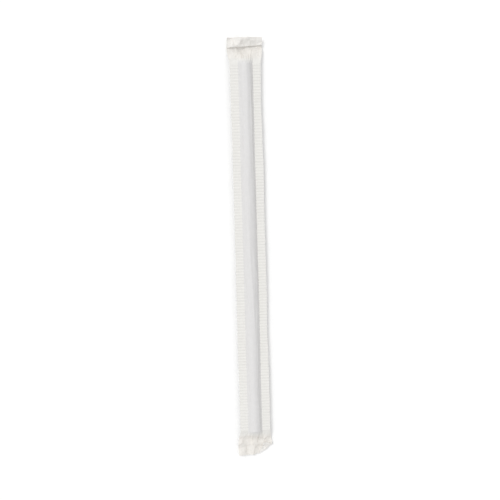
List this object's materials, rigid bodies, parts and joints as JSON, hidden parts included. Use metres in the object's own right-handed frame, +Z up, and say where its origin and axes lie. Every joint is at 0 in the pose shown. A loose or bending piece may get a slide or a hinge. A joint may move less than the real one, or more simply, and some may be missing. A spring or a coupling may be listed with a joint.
{
  "type": "wrapped drinking straw",
  "caption": "Straight drinking straw sealed in its own white paper sleeve, with knurled seams along both long edges and flat creased ends.",
  "frame": {"origin": "centre of the bounding box, on the surface that the sleeve lies on", "axes": "+Y along the straw towards the end with the turned-over edge, +Z up, +X across the sleeve towards the folded corner"},
  "size_m": [0.0189, 0.2268, 0.006],
  "materials": {
    "paper": "matte white wrapping paper, thin and faintly fibrous, warmer where it is doubled and creased at the ends"
  },
  "bodies": {
    "root": {"wrapped_straw": "paper"}
  },
  "joints": []
}
